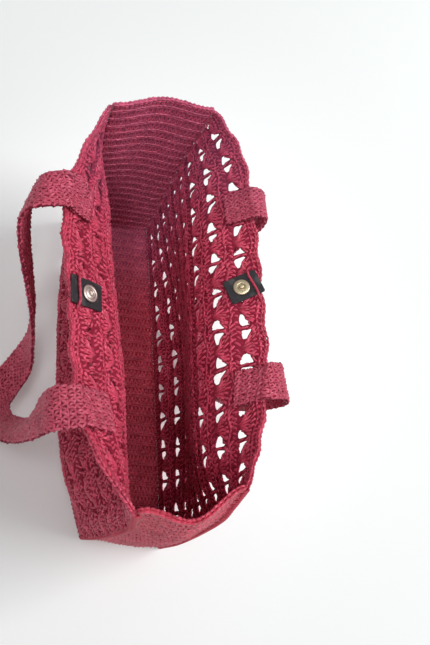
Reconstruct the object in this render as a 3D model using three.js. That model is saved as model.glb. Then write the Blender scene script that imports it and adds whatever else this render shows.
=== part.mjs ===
import * as THREE from 'three';

// A crochet tote bag that stands on its base with its mouth open.
// Millimetres. X runs across the bag, Y along it, Z up. The origin is the middle of the base's underside.

// Driving dimensions
const PANEL_LENGTH = 430;
const PANEL_HEIGHT = 252;
const CLOTH = 3;
const SEAM_GAP = 0.9;
const LAY_GAP = 0.4;
const FOOT_Z = 0;
const ANKLE_Z = 13;
const BEND_RADIUS = 9;
const SLOPE_STEP = 0.004;

// Lace of the two walls: one repeat is a fan of long stitches between two pairs of gaps
const REPEATS = 12;
const REPEAT = PANEL_LENGTH / REPEATS;
const LACE_ROWS = 9;
const FIRST_ROW = 20.5;
const ROW_PITCH = 26.5;
const DOUBLE_ROWS = 4;
const BAR = 3.6;
const GAP_LENGTH = 9.4;
const GAP_TALL = 11;
const GAP_SHORT = 4.4;
const SCALLOP = 2.6;

// Pieces that the strip is divided into: across it, up each end, along the base and round each bend
const STRIP_COLUMNS = 8;
const GUSSET_STEPS = 8;
const BASE_STEPS = 8;
const BEND_STEPS = 3;

// Straps: flat lengths of solid crochet, each sewn on inside near its wall's rim
const STRAP_WIDTH = 34;
const STRAP_STEPS = 3;
const RIGHT_SEWN = { farT: 0.705, nearT: 0.282 };
const LEFT_SEWN = { farT: 0.74, nearT: 0.24 };
const STRAP_COLUMNS = [-0.5, -0.25, 0, 0.25, 0.5];
const SEWN_ROWS = [
  { fromRim: 30, clear: 0.5 },
  { fromRim: 22, clear: 0.5 },
  { fromRim: 14, clear: 0.8 },
  { fromRim: 6, clear: 1.8 },
  { fromRim: 0, clear: 3 },
];

// Leather-like tabs, each with one half of the snap; t is the place along the wall
const TAB_WIDTH = 26;
const TAB_LENGTH = 35;
const TAB_THICK = 1.8;
const TAB_CORNER = 1.5;
const TAB_SAMPLES = 6;
const TAB_SNAP_OFFSET = -2.5;
const RIGHT_TAB = { t: 0.503, fromRim: 18.5, turn: THREE.MathUtils.degToRad(16) };
const LEFT_TAB = { t: 0.505, fromRim: 17.5, turn: 0 };
const SNAP_SEGMENTS = 28;
const SNAP_GAP = 0.3;

// Turned profiles of the snap's halves: radius and height above the tab
const STUD_PROFILE = [
  { r: 0, h: 0 },
  { r: 7.6, h: 0 },
  { r: 8.2, h: 0.5 },
  { r: 7.8, h: 1.3 },
  { r: 5.4, h: 1.6 },
  { r: 4.6, h: 0.8 },
  { r: 3.4, h: 0.8 },
  { r: 2.7, h: 2.6 },
  { r: 1.9, h: 3.2 },
  { r: 0, h: 3.4 },
];
const SOCKET_PROFILE = [
  { r: 0, h: 0 },
  { r: 7.6, h: 0 },
  { r: 8.2, h: 0.6 },
  { r: 7.7, h: 1.5 },
  { r: 6.2, h: 1.9 },
  { r: 5.6, h: 1.5 },
  { r: 4.2, h: 2.4 },
  { r: 2.8, h: 2.4 },
  { r: 2.5, h: 0.9 },
  { r: 0, h: 0.8 },
];

const COLOURS = {
  lace: 0xb03a5a,
  strip: 0x8a2540,
  strap: 0xb5405f,
  tab: 0x26242a,
  brass: 0xc9b582,
};

// Shape of each wall: seven evenly spaced rows from the near seam (t = 0) to the far seam (t = 1).
// Foot, belly, waist, collar and rim: how far the wall stands out from the middle at those heights.
// footY, midY and rimY: how far along the bag the same stitch column lies at three heights.
const RIGHT_WALL = [
  { foot: 54, belly: 61, waist: 68, collar: 66, rim: 62, footY: -214, midY: -203, rimY: -168, rimZ: 240 },
  { foot: 56, belly: 69, waist: 54, collar: 63, rim: 84, footY: -143, midY: -140, rimY: -125, rimZ: 232 },
  { foot: 56, belly: 73, waist: 53, collar: 67, rim: 105, footY: -72, midY: -66, rimY: -57, rimZ: 222 },
  { foot: 56, belly: 75, waist: 56, collar: 70, rim: 110, footY: 0, midY: 8, rimY: 21, rimZ: 220 },
  { foot: 56, belly: 69, waist: 57, collar: 70, rim: 108, footY: 71, midY: 80, rimY: 94, rimZ: 227 },
  { foot: 55, belly: 61, waist: 59, collar: 70, rim: 99, footY: 143, midY: 152, rimY: 168, rimZ: 236 },
  { foot: 54, belly: 56, waist: 62, collar: 66, rim: 70, footY: 215, midY: 216, rimY: 217, rimZ: 241 },
];
const LEFT_WALL = [
  { foot: 36, belly: 28, waist: 18, collar: 21, rim: 27, footY: -195, midY: -196, rimY: -179, rimZ: 240 },
  { foot: 50, belly: 57, waist: 20, collar: 30, rim: 57, footY: -137, midY: -136, rimY: -125, rimZ: 224 },
  { foot: 56, belly: 67, waist: 20, collar: 40, rim: 71, footY: -67, midY: -66, rimY: -66, rimZ: 220 },
  { foot: 56, belly: 70, waist: 25, collar: 46, rim: 75, footY: 2, midY: 2, rimY: 0, rimZ: 221 },
  { foot: 56, belly: 70, waist: 30, collar: 50, rim: 82, footY: 72, midY: 70, rimY: 66, rimZ: 230 },
  { foot: 55, belly: 65, waist: 33, collar: 47, rim: 71, footY: 141, midY: 132, rimY: 124, rimZ: 237 },
  { foot: 54, belly: 53, waist: 46, collar: 44, rim: 41, footY: 210, midY: 204, rimY: 194, rimZ: 241 },
];
const BELLY_Z = 55;
const MIDDLE_Z = 120;
const WAIST_Z = 168;
const COLLAR_Z = 198;
const NEAR_BULGE = { foot: 1, middle: 12, rim: 16 };
const FAR_BULGE = { foot: 0, middle: 6, rim: 11 };

// Free part of each strap between its sewn ends, from the far end to the near one.
// out, along and up place its middle line; the wide columns point across its width.
const RIGHT_STRAP = [
  { out: 117, along: 110, up: 233, wideOut: 0, wideAlong: 1, wideUp: 0 },
  { out: 121, along: 108, up: 219, wideOut: 0.1, wideAlong: 1, wideUp: -0.1 },
  { out: 117, along: 104, up: 192, wideOut: 0.3, wideAlong: 0.9, wideUp: -0.3 },
  { out: 109, along: 97, up: 155, wideOut: 0.4, wideAlong: 0.8, wideUp: -0.4 },
  { out: 104, along: 85, up: 113, wideOut: 0.6, wideAlong: 0.6, wideUp: -0.5 },
  { out: 101, along: 63, up: 70, wideOut: 0.8, wideAlong: 0.4, wideUp: -0.4 },
  { out: 100, along: 32, up: 46, wideOut: 0.95, wideAlong: 0.1, wideUp: -0.2 },
  { out: 100, along: -5, up: 39, wideOut: 1, wideAlong: -0.1, wideUp: 0 },
  { out: 102, along: -39, up: 52, wideOut: 0.9, wideAlong: -0.3, wideUp: 0.2 },
  { out: 105, along: -61, up: 89, wideOut: 0.8, wideAlong: -0.5, wideUp: 0.2 },
  { out: 113, along: -71, up: 138, wideOut: 0.6, wideAlong: -0.8, wideUp: 0.2 },
  { out: 121, along: -76, up: 184, wideOut: 0.3, wideAlong: -0.9, wideUp: 0.2 },
  { out: 123, along: -78, up: 209, wideOut: 0.1, wideAlong: -1, wideUp: 0.1 },
  { out: 114, along: -77, up: 226, wideOut: 0, wideAlong: -1, wideUp: 0 },
];
const LEFT_STRAP = [
  { out: 96, along: 84, up: 240, wideOut: 0.1, wideAlong: 1, wideUp: -0.05 },
  { out: 106, along: 83, up: 232, wideOut: -0.15, wideAlong: 0.95, wideUp: -0.25 },
  { out: 112, along: 81, up: 212, wideOut: -0.25, wideAlong: 0.9, wideUp: -0.35 },
  { out: 112, along: 70, up: 182, wideOut: -0.2, wideAlong: 0.9, wideUp: -0.4 },
  { out: 106, along: 51, up: 142, wideOut: -0.1, wideAlong: 0.85, wideUp: -0.5 },
  { out: 100, along: 27, up: 104, wideOut: -0.05, wideAlong: 0.8, wideUp: -0.6 },
  { out: 101, along: 5, up: 76, wideOut: 0.15, wideAlong: 0.75, wideUp: -0.6 },
  { out: 110, along: -16, up: 56, wideOut: 0.6, wideAlong: 0.65, wideUp: -0.4 },
  { out: 125, along: -37, up: 45, wideOut: 0.85, wideAlong: 0.45, wideUp: -0.2 },
  { out: 134, along: -57, up: 48, wideOut: 0.95, wideAlong: 0.05, wideUp: -0.2 },
  { out: 130, along: -77, up: 67, wideOut: 0.9, wideAlong: -0.3, wideUp: 0 },
  { out: 118, along: -90, up: 97, wideOut: 0.85, wideAlong: -0.45, wideUp: 0.2 },
  { out: 107, along: -98, up: 131, wideOut: 0.75, wideAlong: -0.65, wideUp: 0.2 },
  { out: 99, along: -100, up: 165, wideOut: 0.4, wideAlong: -0.9, wideUp: 0.1 },
  { out: 92, along: -101, up: 200, wideOut: 0.1, wideAlong: -1, wideUp: 0.05 },
  { out: 83, along: -100, up: 223, wideOut: 0, wideAlong: -1, wideUp: 0 },
];

function blend(rows, t, column) {
  const last = rows.length - 1;
  const place = THREE.MathUtils.clamp(t, 0, 1) * last;
  const index = Math.min(Math.floor(place), last - 1);
  const f = place - index;
  const p0 = rows[Math.max(index - 1, 0)][column];
  const p1 = rows[index][column];
  const p2 = rows[index + 1][column];
  const p3 = rows[Math.min(index + 2, last)][column];
  const m1 = (p2 - p0) / 2;
  const m2 = (p3 - p1) / 2;
  const h = f * f * (3 - 2 * f);
  return p1 + (p2 - p1) * h + f * (1 - f) * ((1 - f) * m1 - f * m2);
}

// A wall's middle surface: t along it, v from its foot (0) to its rim (1)
class Wall {
  constructor(rows, side) {
    this.rows = rows;
    this.side = side;
    this.curves = new Map();
  }

  curve(t) {
    const key = t.toFixed(5);
    if (!this.curves.has(key)) {
      const read = (column) => blend(this.rows, t, column);
      const rimZ = read('rimZ');
      const at = (column, z) => {
        const y = z < MIDDLE_Z
          ? THREE.MathUtils.mapLinear(z, 0, MIDDLE_Z, read('footY'), read('midY'))
          : THREE.MathUtils.mapLinear(z, MIDDLE_Z, rimZ, read('midY'), read('rimY'));
        return new THREE.Vector3(this.side * read(column), y, z);
      };
      const foot = at('foot', FOOT_Z);
      const ankle = at('foot', ANKLE_Z);
      const middle = [at('belly', BELLY_Z), at('waist', WAIST_Z), at('collar', COLLAR_Z)];
      const points = [foot, ankle, ...middle, at('rim', rimZ)];
      this.curves.set(key, new THREE.CatmullRomCurve3(points, false, 'centripetal'));
    }
    return this.curves.get(key);
  }

  point(t, v) {
    const inside = THREE.MathUtils.clamp(v, 0, 1);
    const point = this.curve(t).getPointAt(inside);
    if (v > 1) {
      point.addScaledVector(this.curve(t).getTangentAt(1), (v - 1) * PANEL_HEIGHT);
    }
    return point;
  }

  // Unit vectors along the wall, up the cloth and out of its inner face
  frame(t, v) {
    const low = Math.max(t - SLOPE_STEP, 0);
    const high = Math.min(t + SLOPE_STEP, 1);
    const along = this.point(high, v).sub(this.point(low, v)).normalize();
    const top = Math.min(v + SLOPE_STEP, 1);
    const bottom = Math.max(top - 2 * SLOPE_STEP, 0);
    const up = this.point(t, top).sub(this.point(t, bottom)).normalize();
    const inward = new THREE.Vector3().crossVectors(along, up).normalize().multiplyScalar(-this.side);
    return { along, up, inward };
  }
}

// A closed sheet from points on its middle surface, its normals and its triangles; every edge is closed
function thickSheet(points, normals, triangles, thickness) {
  const count = points.length;
  const positions = [];
  for (const offset of [thickness / 2, -thickness / 2]) {
    points.forEach((point, i) => {
      positions.push(...point.clone().addScaledVector(normals[i], offset).toArray());
    });
  }
  const index = [];
  const edges = new Map();
  for (const [a, b, c] of triangles) {
    index.push(a, b, c, c + count, b + count, a + count);
    for (const [from, to] of [[a, b], [b, c], [c, a]]) {
      if (!edges.delete(`${to} ${from}`)) {
        edges.set(`${from} ${to}`, [from, to]);
      }
    }
  }
  for (const [from, to] of edges.values()) {
    index.push(to, from, from + count, to, from + count, to + count);
  }
  const geometry = new THREE.BufferGeometry();
  geometry.setAttribute('position', new THREE.Float32BufferAttribute(positions, 3));
  geometry.setIndex(index);
  return geometry;
}

// Triangles of the band between two lines of vertices that are sorted along the wall
function band(lower, upper, along) {
  const triangles = [];
  let i = 0;
  let j = 0;
  while (i < lower.length - 1 || j < upper.length - 1) {
    const canLower = i < lower.length - 1;
    const canUpper = j < upper.length - 1;
    if (canLower && (!canUpper || along[lower[i + 1]] <= along[upper[j + 1]])) {
      triangles.push([lower[i], lower[i + 1], upper[j]]);
      i += 1;
    } else {
      triangles.push([lower[i], upper[j + 1], upper[j]]);
      j += 1;
    }
  }
  return triangles;
}

// Gaps of one lace row, sorted along the wall; each is tall beside the bar and short towards the fan
function rowGaps(row) {
  const both = row >= LACE_ROWS - DOUBLE_ROWS;
  const gaps = [];
  for (let repeat = 1; repeat < REPEATS; repeat += 1) {
    const before = repeat * REPEAT - BAR / 2;
    const after = repeat * REPEAT + BAR / 2;
    if (both) {
      gaps.push({ start: before - GAP_LENGTH, end: before, startTall: GAP_SHORT, endTall: GAP_TALL });
    }
    gaps.push({ start: after, end: after + GAP_LENGTH, startTall: GAP_TALL, endTall: GAP_SHORT });
  }
  return gaps;
}

function wallGeometry(wall) {
  const flat = [];
  const add = (u, v) => flat.push({ u, v }) - 1;
  const triangles = [];
  const footPieces = REPEATS * 2;
  let below = Array.from({ length: footPieces + 1 }, (_, i) => add((i * PANEL_LENGTH) / footPieces, 0));
  const lines = [];
  for (let row = 0; row < LACE_ROWS; row += 1) {
    const centre = FIRST_ROW + row * ROW_PITCH;
    const lower = [add(0, centre - GAP_TALL / 2)];
    const upper = [add(0, centre + GAP_TALL / 2)];
    for (const gap of rowGaps(row)) {
      lower.push(add(gap.start, centre - gap.startTall / 2), add(gap.end, centre - gap.endTall / 2));
      upper.push(add(gap.start, centre + gap.startTall / 2), add(gap.end, centre + gap.endTall / 2));
    }
    lower.push(add(PANEL_LENGTH, centre - GAP_TALL / 2));
    upper.push(add(PANEL_LENGTH, centre + GAP_TALL / 2));
    lines.push([below, lower]);
    for (let i = 0; i < lower.length - 1; i += 2) {
      triangles.push([lower[i], lower[i + 1], upper[i + 1]], [lower[i], upper[i + 1], upper[i]]);
    }
    below = upper;
  }
  const rimPieces = REPEATS * 4;
  const rim = Array.from({ length: rimPieces + 1 }, (_, i) => {
    const u = (i * PANEL_LENGTH) / rimPieces;
    return add(u, PANEL_HEIGHT - (SCALLOP * (1 + Math.cos((2 * Math.PI * u) / REPEAT))) / 2);
  });
  lines.push([below, rim]);
  const along = flat.map(({ u }) => u);
  for (const [lower, upper] of lines) {
    triangles.push(...band(lower, upper, along));
  }
  const points = flat.map(({ u, v }) => wall.point(u / PANEL_LENGTH, v / PANEL_HEIGHT));
  const normals = flat.map(({ u, v }) => {
    return wall.frame(u / PANEL_LENGTH, v / PANEL_HEIGHT).inward.multiplyScalar(-wall.side);
  });
  return thickSheet(points, normals, triangles, CLOTH);
}

// Strip of solid crochet: near end, base and far end in one length
const right = new Wall(RIGHT_WALL, 1);
const left = new Wall(LEFT_WALL, -1);

function bulgeAt(bulge, v) {
  const rise = v < 0.5 ? [bulge.foot, bulge.middle, v * 2] : [bulge.middle, bulge.rim, v * 2 - 1];
  return THREE.MathUtils.lerp(rise[0], rise[1], THREE.MathUtils.smoothstep(rise[2], 0, 1));
}

// Where the strip's edge runs: just inside the wall's inner face, over the whole thickness of the strip
function stripEdge(wall, t, v) {
  const inner = THREE.MathUtils.clamp(t, CLOTH / PANEL_LENGTH, 1 - CLOTH / PANEL_LENGTH);
  const faces = [t, inner].map((where) => {
    const { inward } = wall.frame(where, v);
    return wall.side * wall.point(where, v).x - CLOTH / 2 / Math.abs(inward.x);
  });
  const point = wall.point(t, v);
  point.x = wall.side * (Math.min(...faces) - SEAM_GAP);
  return point;
}

// end is -1 at the near end and 1 at the far end
function gussetPoint(end, v, w) {
  const t = end < 0 ? 0 : 1;
  const point = stripEdge(left, t, v).lerp(stripEdge(right, t, v), w);
  const bulge = bulgeAt(end < 0 ? NEAR_BULGE : FAR_BULGE, v);
  point.y += end * ((bulge * (1 - Math.cos(2 * Math.PI * w))) / 2 - CLOTH / 2);
  point.z += CLOTH / 2 - FOOT_Z;
  return point;
}

function basePoint(t, w) {
  const point = stripEdge(left, t, 0).lerp(stripEdge(right, t, 0), w);
  point.z = CLOTH / 2;
  return point;
}

function stripStations() {
  const bendT = BEND_RADIUS / PANEL_LENGTH;
  const bendV = BEND_RADIUS / PANEL_HEIGHT;
  const stations = [];
  const bend = (end, f, w) => {
    const low = basePoint(end < 0 ? bendT : 1 - bendT, w);
    const corner = gussetPoint(end, 0, w);
    const high = gussetPoint(end, bendV, w);
    return new THREE.QuadraticBezierCurve3(low, corner, high).getPoint(f);
  };
  for (let i = 0; i <= GUSSET_STEPS; i += 1) {
    stations.push((w) => gussetPoint(-1, THREE.MathUtils.lerp(1, bendV, i / GUSSET_STEPS), w));
  }
  for (let i = 1; i < BEND_STEPS; i += 1) {
    stations.push((w) => bend(-1, 1 - i / BEND_STEPS, w));
  }
  for (let i = 0; i <= BASE_STEPS; i += 1) {
    stations.push((w) => basePoint(THREE.MathUtils.lerp(bendT, 1 - bendT, i / BASE_STEPS), w));
  }
  for (let i = 1; i < BEND_STEPS; i += 1) {
    stations.push((w) => bend(1, i / BEND_STEPS, w));
  }
  for (let i = 0; i <= GUSSET_STEPS; i += 1) {
    stations.push((w) => gussetPoint(1, THREE.MathUtils.lerp(bendV, 1, i / GUSSET_STEPS), w));
  }
  return stations;
}

// A sheet from a grid of points, row by row
function gridSheet(grid, thickness) {
  const columns = grid[0].length;
  const points = grid.flat();
  const triangles = [];
  for (let row = 0; row < grid.length - 1; row += 1) {
    for (let column = 0; column < columns - 1; column += 1) {
      const a = row * columns + column;
      const b = a + columns;
      triangles.push([a, a + 1, b + 1], [a, b + 1, b]);
    }
  }
  const normals = points.map(() => new THREE.Vector3());
  for (const [a, b, c] of triangles) {
    const across = points[b].clone().sub(points[a]);
    const normal = across.cross(points[c].clone().sub(points[a]));
    [a, b, c].forEach((i) => normals[i].add(normal));
  }
  normals.forEach((normal) => normal.normalize());
  return thickSheet(points, normals, triangles, thickness);
}

function stripGeometry() {
  const grid = stripStations().map((station) => {
    return Array.from({ length: STRIP_COLUMNS + 1 }, (_, i) => station(i / STRIP_COLUMNS));
  });
  return gridSheet(grid, CLOTH);
}

// A strap: both ends lie on the wall's inner face, the rest runs over the rim and down outside
function strapGeometry(wall, sewn, freeRows) {
  const sewnRow = (t, { fromRim, clear }, sign) => {
    const v = 1 - fromRim / PANEL_HEIGHT;
    const reach = wall.point(t + SLOPE_STEP, v).distanceTo(wall.point(t - SLOPE_STEP, v));
    const perMm = (2 * SLOPE_STEP) / reach;
    return STRAP_COLUMNS.map((w) => {
      const there = t + sign * w * STRAP_WIDTH * perMm;
      return wall.point(there, v).addScaledVector(wall.frame(there, v).inward, CLOTH + clear);
    });
  };
  const far = SEWN_ROWS.map((row) => sewnRow(sewn.farT, row, 1));
  const near = SEWN_ROWS.map((row) => sewnRow(sewn.nearT, row, -1)).reverse();
  const middleColumn = (STRAP_COLUMNS.length - 1) / 2;
  const stationOf = (row) => {
    return { middle: row[middleColumn], wide: row.at(-1).clone().sub(row[0]).normalize() };
  };
  const free = freeRows.map((row) => ({
    middle: new THREE.Vector3(wall.side * row.out, row.along, row.up),
    wide: new THREE.Vector3(wall.side * row.wideOut, row.wideAlong, row.wideUp),
  }));
  const route = [...far.map(stationOf), ...free, ...near.map(stationOf)];
  const curve = new THREE.CatmullRomCurve3(route.map(({ middle }) => middle), false, 'centripetal');
  const pieces = (route.length - 1) * STRAP_STEPS;
  const grid = [...far];
  for (let i = (far.length - 1) * STRAP_STEPS + 1; i < pieces - (near.length - 1) * STRAP_STEPS; i += 1) {
    const tangent = curve.getTangent(i / pieces);
    const middle = curve.getPoint(i / pieces);
    const index = Math.floor(i / STRAP_STEPS);
    const wide = route[index].wide.clone().lerp(route[index + 1].wide, i / STRAP_STEPS - index);
    wide.addScaledVector(tangent, -wide.dot(tangent)).normalize();
    grid.push(STRAP_COLUMNS.map((w) => middle.clone().addScaledVector(wide, w * STRAP_WIDTH)));
  }
  grid.push(...near);
  return gridSheet(grid, CLOTH);
}

// Place for a flat plate on a wall's inner face: its y axis points to the rim, its z axis into the bag
function plateMatrix(wall, { t, fromRim, turn }, lift) {
  const v = 1 - fromRim / PANEL_HEIGHT;
  const { along, up, inward } = wall.frame(t, v);
  const x = along.multiplyScalar(-wall.side);
  const matrix = new THREE.Matrix4().makeBasis(x, up, inward);
  matrix.setPosition(wall.point(t, v).addScaledVector(inward, lift));
  return matrix.multiply(new THREE.Matrix4().makeRotationZ(turn));
}

// How far the wall's inner face rises above its own tangent plane under a tab
function faceRise(wall, tab) {
  const inverse = plateMatrix(wall, tab, 0).invert();
  let rise = 0;
  for (let i = -TAB_SAMPLES; i <= TAB_SAMPLES; i += 1) {
    for (let j = -TAB_SAMPLES; j <= TAB_SAMPLES; j += 1) {
      const t = tab.t + ((i / TAB_SAMPLES) * TAB_LENGTH) / 2 / PANEL_LENGTH;
      const v = Math.min(1 - (tab.fromRim + ((j / TAB_SAMPLES) * TAB_LENGTH) / 2) / PANEL_HEIGHT, 1);
      const point = wall.point(t, v).addScaledVector(wall.frame(t, v).inward, CLOTH / 2);
      rise = Math.max(rise, point.applyMatrix4(inverse).z);
    }
  }
  return rise;
}

function tabGeometry(wall, tab) {
  const x = TAB_WIDTH / 2 - TAB_CORNER;
  const y = TAB_LENGTH / 2 - TAB_CORNER;
  const outline = new THREE.Shape();
  outline.absarc(x, y, TAB_CORNER, 0, Math.PI / 2);
  outline.absarc(-x, y, TAB_CORNER, Math.PI / 2, Math.PI);
  outline.absarc(-x, -y, TAB_CORNER, Math.PI, Math.PI * 1.5);
  outline.absarc(x, -y, TAB_CORNER, Math.PI * 1.5, Math.PI * 2);
  const options = { depth: TAB_THICK, bevelEnabled: false, curveSegments: 4 };
  const geometry = new THREE.ExtrudeGeometry(outline, options);
  return geometry.applyMatrix4(plateMatrix(wall, tab, faceRise(wall, tab) + LAY_GAP));
}

// One half of the snap: a closed turned profile that stands on its tab
function snapGeometry(wall, tab, profile) {
  const points = profile.map(({ r, h }) => new THREE.Vector2(r, h));
  const geometry = new THREE.LatheGeometry(points, SNAP_SEGMENTS);
  geometry.rotateX(Math.PI / 2);
  geometry.translate(0, TAB_SNAP_OFFSET, 0);
  const lift = faceRise(wall, tab) + LAY_GAP + TAB_THICK + SNAP_GAP;
  return geometry.applyMatrix4(plateMatrix(wall, tab, lift));
}

function mesh(name, geometry, colour, roughness, metalness = 0) {
  const material = new THREE.MeshStandardMaterial({ color: colour, roughness, metalness });
  const part = new THREE.Mesh(geometry, material);
  part.name = name;
  return part;
}

const parts = [
  mesh('strip', stripGeometry(), COLOURS.strip, 0.9),
  mesh('wall_right', wallGeometry(right), COLOURS.lace, 0.9),
  mesh('wall_left', wallGeometry(left), COLOURS.lace, 0.9),
  mesh('handle_right', strapGeometry(right, RIGHT_SEWN, RIGHT_STRAP), COLOURS.strap, 0.9),
  mesh('handle_left', strapGeometry(left, LEFT_SEWN, LEFT_STRAP), COLOURS.strap, 0.9),
  mesh('tab_right', tabGeometry(right, RIGHT_TAB), COLOURS.tab, 0.6),
  mesh('tab_left', tabGeometry(left, LEFT_TAB), COLOURS.tab, 0.6),
  mesh('snap_right', snapGeometry(right, RIGHT_TAB, STUD_PROFILE), COLOURS.brass, 0.35, 1),
  mesh('snap_left', snapGeometry(left, LEFT_TAB, SOCKET_PROFILE), COLOURS.brass, 0.35, 1),
];
const bag = new THREE.Group();
bag.name = 'tote_bag';
bag.add(...parts);

export default bag;
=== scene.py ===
"""A crochet tote bag, standing open: a strip, two lace walls, two straps, two tabs, a snap."""

import sys
import logging
import math
from dataclasses import dataclass, field
from enum import Enum

import bpy
import numpy as np
from mathutils import Matrix, Vector


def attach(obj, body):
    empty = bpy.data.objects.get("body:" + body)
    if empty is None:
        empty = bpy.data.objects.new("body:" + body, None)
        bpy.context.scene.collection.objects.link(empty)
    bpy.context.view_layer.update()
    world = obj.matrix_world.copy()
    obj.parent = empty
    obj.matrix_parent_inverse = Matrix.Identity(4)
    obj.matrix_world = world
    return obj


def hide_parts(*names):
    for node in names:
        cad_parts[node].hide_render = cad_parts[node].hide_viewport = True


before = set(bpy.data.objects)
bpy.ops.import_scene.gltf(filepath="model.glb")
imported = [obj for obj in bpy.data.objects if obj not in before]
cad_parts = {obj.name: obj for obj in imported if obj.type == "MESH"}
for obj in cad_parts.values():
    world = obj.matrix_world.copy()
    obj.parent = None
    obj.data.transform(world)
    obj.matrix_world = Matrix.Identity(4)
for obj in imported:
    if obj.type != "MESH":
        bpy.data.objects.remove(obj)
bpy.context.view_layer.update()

LOG = logging.getLogger("tote_bag")
MM = 0.001
BODY = "root"

Array = np.ndarray
Triple = tuple[float, float, float]
Material = bpy.types.Material
Object = bpy.types.Object
Socket = bpy.types.NodeSocket
Sockets = bpy.types.bpy_prop_collection
Tree = bpy.types.NodeTree

# The bag's driving sizes, in millimetres, as the solids have them
PANEL_LENGTH = 430.0
PANEL_HEIGHT = 252.0
CLOTH = 3.0
FOOT_Z = 0.0
ANKLE_Z = 13.0
BEND_RADIUS = 9.0
STRIP_WIDTH = 112.0
STRIP_INSET = 2.6
BELLY_Z = 55.0
MIDDLE_Z = 120.0
WAIST_Z = 168.0
COLLAR_Z = 198.0
REPEATS = 12
REPEAT = PANEL_LENGTH / REPEATS
LACE_ROWS = 9
FIRST_ROW = 20.5
ROW_PITCH = 26.5
SCALLOP = 2.6
STRAP_WIDTH = 34.0

# The left wall's folds narrow its gaps up to OPEN_FROM of its length. The two widths are what
# they leave of a gap's height after that and before it.
OPEN_FROM = 0.76
OPEN_WIDTH = 0.95
CLOSED_WIDTH = 0.3

# A gap's outline: its edges at distances from the bar beside it, and which of these are cut out
GAP_STATIONS = (1.8, 2.8, 4.4, 6.6, 9.0, 11.6, 18.0)
GAP_LOW = (-3.8, -5.3, -5.9, -5.9, -5.4, -4.2, -4.2)
GAP_HIGH = (4.2, 5.6, 5.6, 3.8, 1.6, -0.6, -0.6)
GAP_CUT = (1.8, 11.6)
SMALL_CUT = (4.4, 9.0)
WALL_STEPS = (0.0, 1.8, 2.8, 4.4, 6.6, 9.0, 11.6, 14.8)

# Heights between two lace rows, from the lower row's middle: the ground's lines and the stitches
GROUND_LINES = ((8.2, "solid"), (12.6, "small"), (17.0, "solid"))
PLAIN_ROWS = (13.7, 17.8)
LAST_ROW = (13.6,)
FOOT_ROWS = (2.4, 7.2, 11.8)
FAN_TOPS = (-15.4, -10.6, -5.3, 0.0, 5.3, 10.6, 15.4)
STITCH_LINE = (2.6, PANEL_LENGTH, 5.24)

# Half a strand's thickness, a strand's sides and the thickness of the ground below the strands
YARN = 1.15
CHAIN_YARN = 1.2
YARN_SIDES = 4
CORE = 1.8

# How many points the cloths' grids have, and how far apart a strap's rows are
WALL_STATIONS = 216
WALL_RISE = 127
STRIP_ROWS = 308
STRIP_COLUMNS = 23
STRAP_COLUMNS = 9
STRAP_STEP = 3.0
CURVE_SAMPLES = 12
SECTION_SAMPLES = 40
END_ROWS = 80
BEND_ROWS = 8
BASE_ROWS = 140

# About how wide a stitch is and how high a row, on the strip and on a strap
STRIP_STITCH = (5.1, 5.95)
STRAP_STITCH = (4.9, 5.3)

# How a strand strays from its place in each direction, and how its thickness varies
STRAY = (1.0, 1.0, 0.6)
THICK_SHARES = (0.82, 1.18)

# Uneven hand work, across and along: each wave's size, its two rates and its phase
SWAY_FADE = 12.0
SWAYS = (
    ((0.9, 0.21, 0.13, 0.0), (0.7, -0.06, 0.33, 1.7)),
    ((0.9, 0.11, 0.17, 0.6), (0.7, 0.29, -0.05, 0.0)),
)

# Where the random numbers start
STRIP_SEED = 300
FILLING_SEED = 47
TONE_SEED = 991
SEED_STEP = 17

WALL_COLUMNS = ("foot", "belly", "waist", "collar", "rim", "foot_y", "mid_y", "rim_y", "rim_z")
RIGHT_ROWS = (
    (54, 61, 68, 66, 62, -214, -203, -168, 240),
    (56, 69, 54, 63, 84, -143, -140, -125, 232),
    (56, 73, 53, 67, 105, -72, -66, -57, 222),
    (56, 75, 56, 70, 110, 0, 8, 21, 220),
    (56, 69, 57, 70, 108, 71, 80, 94, 227),
    (55, 61, 59, 70, 99, 143, 152, 168, 236),
    (54, 56, 62, 66, 70, 215, 216, 217, 241),
)
LEFT_ROWS = (
    (36, 28, 18, 21, 27, -195, -196, -179, 240),
    (50, 57, 20, 30, 57, -137, -136, -125, 224),
    (56, 67, 20, 40, 71, -67, -66, -66, 220),
    (56, 70, 25, 46, 75, 2, 2, 0, 221),
    (56, 70, 30, 50, 82, 72, 70, 66, 230),
    (55, 65, 33, 47, 71, 141, 132, 124, 237),
    (54, 53, 46, 44, 41, 210, 204, 194, 241),
)
NEAR_BULGE = (1.0, 12.0, 16.0)
FAR_BULGE = (0.0, 6.0, 11.0)

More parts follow.
